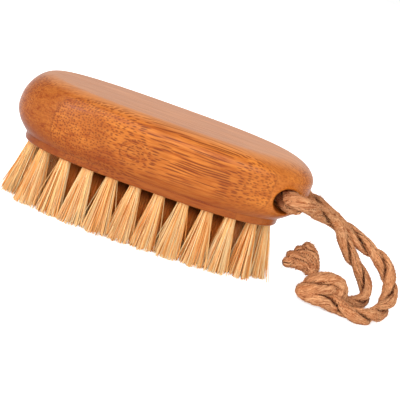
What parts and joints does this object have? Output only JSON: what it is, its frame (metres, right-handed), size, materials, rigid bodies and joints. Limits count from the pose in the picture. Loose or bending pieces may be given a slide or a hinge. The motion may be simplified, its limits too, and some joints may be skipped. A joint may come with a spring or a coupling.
{
  "type": "massage brush",
  "caption": "Bamboo hand brush with a stepped pad of stiff plant-fibre tufts and a knotted jute hanging cord through a cross hole.",
  "frame": {"origin": "centre of the brush's footprint on the plane of the bristle tips, without the cord", "axes": "+X along the brush towards the cord hole, +Y across it, +Z from the bristle tips to the flat back"},
  "size_m": [0.1469, 0.044, 0.0441],
  "materials": {
    "bamboo": "sanded and lightly oiled carbonised bamboo, satin",
    "bristle_fibre": "stiff straw-coloured plant fibre, dry and slightly glossy",
    "jute": "two-ply twisted jute, matt and fuzzy"
  },
  "bodies": {
    "root": {"handle_block": "bamboo", "tuft_01": "bristle_fibre", "tuft_02": "bristle_fibre", "tuft_03": "bristle_fibre", "tuft_04": "bristle_fibre", "tuft_05": "bristle_fibre", "tuft_06": "bristle_fibre", "tuft_07": "bristle_fibre", "tuft_08": "bristle_fibre", "tuft_09": "bristle_fibre", "tuft_10": "bristle_fibre", "tuft_11": "bristle_fibre", "tuft_12": "bristle_fibre", "tuft_13": "bristle_fibre", "tuft_14": "bristle_fibre", "tuft_15": "bristle_fibre", "tuft_16": "bristle_fibre", "tuft_17": "bristle_fibre", "tuft_18": "bristle_fibre", "tuft_19": "bristle_fibre", "tuft_20": "bristle_fibre", "tuft_21": "bristle_fibre", "tuft_22": "bristle_fibre", "tuft_23": "bristle_fibre", "tuft_24": "bristle_fibre", "tuft_25": "bristle_fibre", "tuft_26": "bristle_fibre", "tuft_27": "bristle_fibre", "tuft_28": "bristle_fibre", "tuft_29": "bristle_fibre", "tuft_30": "bristle_fibre", "tuft_31": "bristle_fibre", "tuft_32": "bristle_fibre", "tuft_33": "bristle_fibre", "tuft_34": "bristle_fibre", "tuft_35": "bristle_fibre", "tuft_36": "bristle_fibre", "tuft_37": "bristle_fibre", "tuft_38": "bristle_fibre", "tuft_39": "bristle_fibre", "tuft_40": "bristle_fibre", "tuft_41": "bristle_fibre", "tuft_42": "bristle_fibre", "tuft_43": "bristle_fibre", "tuft_44": "bristle_fibre", "tuft_45": "bristle_fibre", "tuft_46": "bristle_fibre", "tuft_47": "bristle_fibre", "tuft_48": "bristle_fibre", "tuft_49": "bristle_fibre", "cord_far_strand": "jute", "cord_near_strand": "jute", "cord_knot": "jute", "cord_tail": "jute"}
  },
  "joints": []
}
